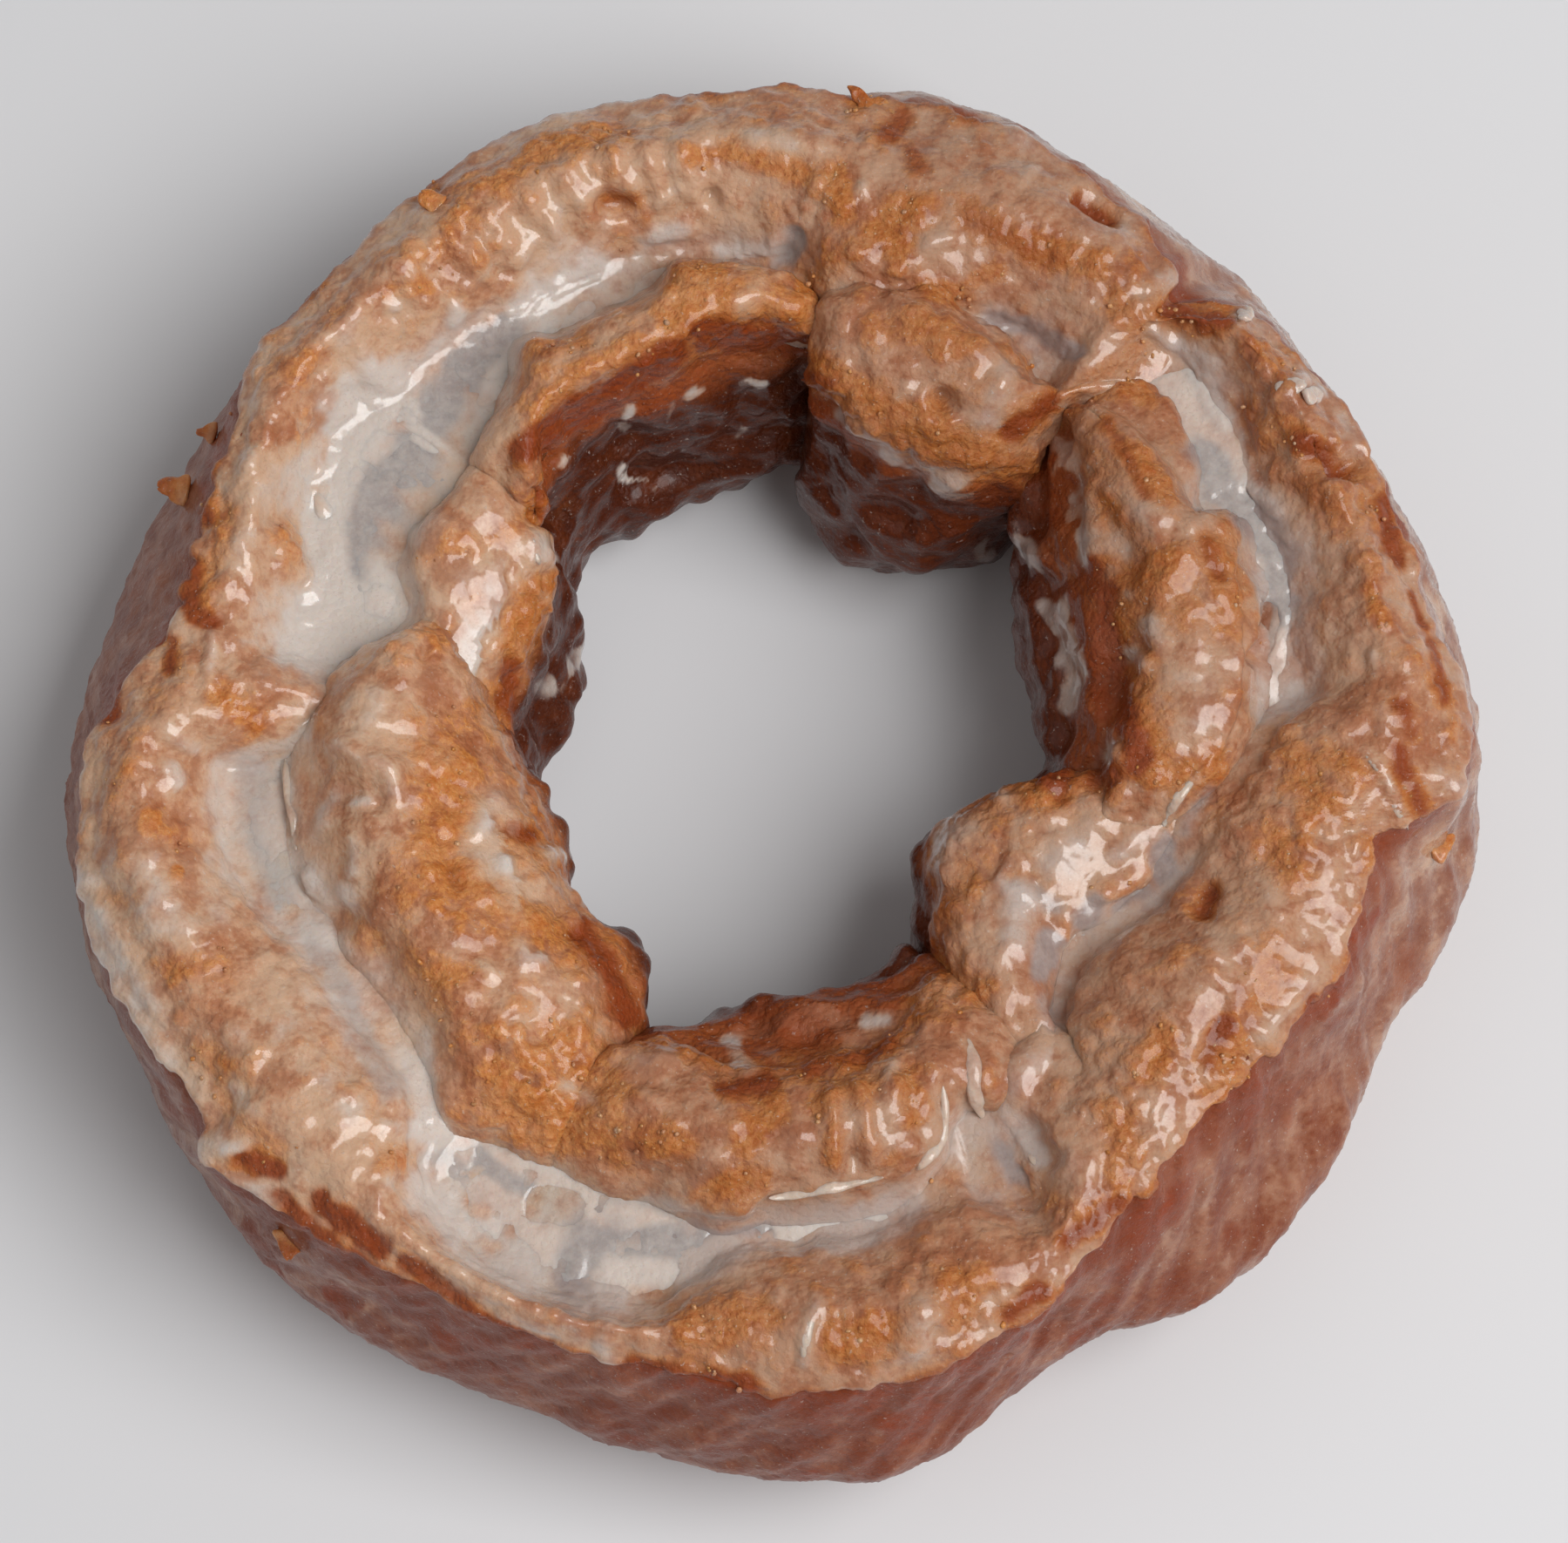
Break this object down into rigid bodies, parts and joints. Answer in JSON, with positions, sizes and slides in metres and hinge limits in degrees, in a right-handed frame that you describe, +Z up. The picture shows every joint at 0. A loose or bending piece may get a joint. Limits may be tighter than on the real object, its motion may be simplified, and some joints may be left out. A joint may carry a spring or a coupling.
{
  "type": "old fashioned doughnut",
  "caption": "Ring of fried cake dough with a smooth side crust, a cracked and torn top, a groove round it and an open hole in the middle.",
  "frame": {"origin": "on the table under the middle of the ring's bounding box, at the height of the flat ring it rests on", "axes": "+Z up through the hole; +X is azimuth 0 of the ring, at the right when the part is seen from -Y"},
  "size_m": [0.0946, 0.0939, 0.0277],
  "materials": {
    "fried_crust": "fried cake crust under a thin, dried sugar glaze: orange-brown crumb with darker red-brown edges, glossy"
  },
  "bodies": {
    "root": {"doughnut": "fried_crust"}
  },
  "joints": []
}
